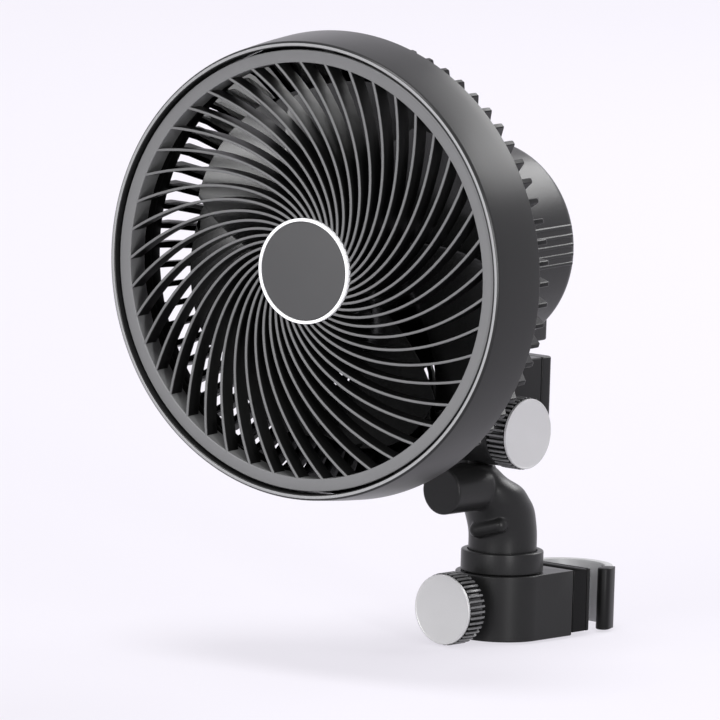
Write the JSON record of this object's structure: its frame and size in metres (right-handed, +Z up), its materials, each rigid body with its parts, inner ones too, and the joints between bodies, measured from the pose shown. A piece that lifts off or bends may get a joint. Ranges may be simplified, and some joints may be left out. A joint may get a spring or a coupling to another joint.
{
  "type": "clip fan",
  "caption": "Small round fan whose head swings and tilts on a short neck, held to an upright pole by a hook and screw clamp.",
  "frame": {"origin": "middle of the largest pole that the clamp takes, at the height of the clamp screw", "axes": "+Z up along the pole, the front of the fan towards -Y, +X to the right seen from the front of the fan"},
  "size_m": [0.1963, 0.2424, 0.2716],
  "materials": {
    "charcoal": "fine satin grain, charcoal",
    "black": "satin black",
    "ring_grey": "matt grey",
    "blade_black": "glossy black",
    "badge_face": "matt grey",
    "badge_edge": "white",
    "knob_disc": "fine satin silver",
    "hook_metal": "satin grey paint",
    "rubber": "matt black",
    "steel": "zinc plated",
    "cast_alloy": "die cast",
    "core": "dark laminated iron",
    "copper": "enamelled copper wire",
    "board": "green circuit board",
    "nylon": "natural nylon"
  },
  "bodies": {
    "clamp": {"clamp_block": "charcoal", "clamp_base_cover": "charcoal", "base_screw_1": "steel", "base_screw_2": "steel", "base_screw_3": "steel", "swivel_collar": "charcoal", "swivel_washer": "nylon", "clamp_hook": "hook_metal", "hook_tip": "rubber", "hook_screw_1": "steel", "hook_screw_2": "steel", "screw_insert": "steel"},
    "jaw": {"clamp_jaw": "black", "jaw_pad": "rubber"},
    "clamp_handle": {"clamp_screw": "steel", "clamp_knob": "black", "clamp_knob_cap": "knob_disc"},
    "elbow_arm": {"elbow": "charcoal", "friction_disc": "nylon", "tilt_bolt": "steel"},
    "tilt_handle": {"tilt_knob": "black", "tilt_knob_cap": "knob_disc"},
    "gearbox": {"gearbox_shell": "charcoal", "gearbox_cover": "charcoal", "gearbox_screw_1": "steel", "gearbox_screw_2": "steel", "upper_bush": "nylon", "lower_bush": "nylon", "swing_motor": "steel"},
    "pinion": {"swing_pinion": "nylon"},
    "head": {"neck": "charcoal", "neck_screw_1": "steel", "neck_screw_2": "steel", "swing_shaft": "steel", "thrust_washer": "nylon", "swing_gear": "nylon", "shaft_clip": "steel", "front_grille": "ring_grey", "badge_disc": "badge_face", "badge_ring": "badge_edge", "shroud": "charcoal", "rear_grille": "black", "front_bearing": "steel", "rear_bearing": "steel", "motor_front_bell": "cast_alloy", "motor_rear_bell": "cast_alloy", "stator_core": "core", "field_coils": "copper", "motor_screw_1": "steel", "motor_screw_2": "steel", "motor_screw_3": "steel", "motor_cover": "charcoal", "control_board": "board", "cable_gland": "rubber"},
    "rotor": {"motor_shaft": "steel", "rotor_magnet": "core", "impeller": "blade_black", "impeller_nut": "black"}
  },
  "joints": [
    {"name": "clamp_turn", "type": "hinge", "parent": "jaw", "child": "clamp_handle", "pos_m": [0, -0.0785, 0], "axis": [0, 1, 0], "range_deg": [0, 2305]},
    {"name": "jaw_slide", "type": "slide", "parent": "clamp", "child": "jaw", "axis": [0, 1, 0], "range_m": [0, 0.008]},
    {"name": "stem_swivel", "type": "hinge", "parent": "clamp", "child": "elbow_arm", "pos_m": [0, -0.045, 0.0219], "axis": [0, 0, 1], "range_deg": [-90, 90]},
    {"name": "tilt_knob_turn", "type": "hinge", "parent": "elbow_arm", "child": "tilt_handle", "pos_m": [0.022, -0.0632, 0.0772], "axis": [1, 0, 0], "range_deg": [-360, 0]},
    {"name": "head_tilt", "type": "hinge", "parent": "elbow_arm", "child": "gearbox", "pos_m": [0, -0.0632, 0.0772], "axis": [1, 0, 0], "range_deg": [-35, 50]},
    {"name": "head_swing", "type": "hinge", "parent": "gearbox", "child": "head", "pos_m": [0, -0.0504, 0.11], "axis": [0, 0, 1], "range_deg": [-53.3, 36.7]},
    {"name": "pinion_turn", "type": "hinge", "parent": "gearbox", "child": "pinion", "pos_m": [0, -0.0413, 0.1], "axis": [0, 0, 1], "range_deg": [-77, 110]},
    {"name": "fan_spin", "type": "hinge", "parent": "head", "child": "rotor", "pos_m": [0, -0.0504, 0.1574], "axis": [0.1444, -0.9895, 0], "continuous": true}
  ],
  "couplings": [
    {"joint": "clamp_turn", "follows": "jaw_slide", "rad_per_m": 5026.5},
    {"joint": "pinion_turn", "follows": "head_swing", "ratio": -2}
  ]
}
